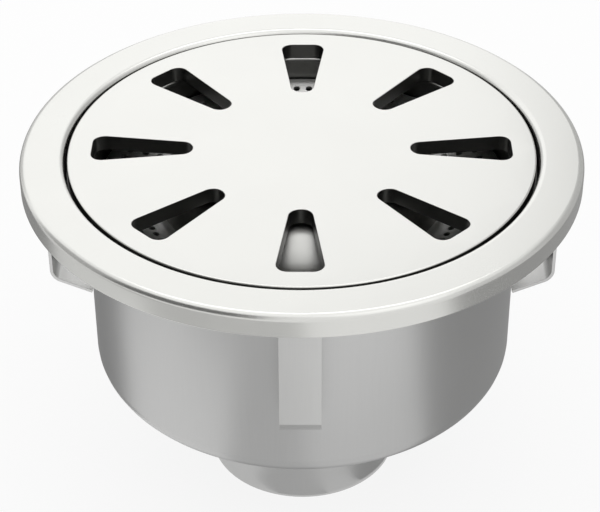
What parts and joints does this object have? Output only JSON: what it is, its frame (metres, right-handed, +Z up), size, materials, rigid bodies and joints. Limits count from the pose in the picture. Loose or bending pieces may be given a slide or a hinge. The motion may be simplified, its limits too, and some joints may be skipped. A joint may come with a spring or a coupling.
{
  "type": "gully trap",
  "caption": "Round stainless floor gully: a slotted lift-out cover in a flanged frame, a deep bowl with a bell trap inside, bent anchor lugs and a straight outlet at the bottom.",
  "frame": {"origin": "centre of the outlet's lower rim, where the gully stands", "axes": "+Z up along the axis of the bowl and outlet, -Y towards the front slot and lug"},
  "size_m": [0.25, 0.25, 0.171],
  "materials": {
    "frame_steel": "satin pressed sheet",
    "cover_steel": "satin plate",
    "drawn_steel": "matt drawn sheet",
    "tube_steel": "drawn tube",
    "strip_steel": "rolled strip",
    "pressed_steel": "pressed sheet",
    "turned_steel": "turned",
    "seal_rubber": "moulded black rubber"
  },
  "bodies": {
    "root": {"frame": "frame_steel", "cover": "cover_steel", "bowl": "drawn_steel", "outlet_spigot": "tube_steel", "strainer": "pressed_steel", "bell_crown": "pressed_steel", "bell_skirt": "tube_steel", "standpipe": "tube_steel", "standpipe_collar": "turned_steel", "standpipe_seal_upper": "seal_rubber", "standpipe_seal_lower": "seal_rubber", "anchor_lug_front": "strip_steel", "anchor_lug_right": "strip_steel", "anchor_lug_back": "strip_steel", "anchor_lug_left": "strip_steel"}
  },
  "joints": []
}
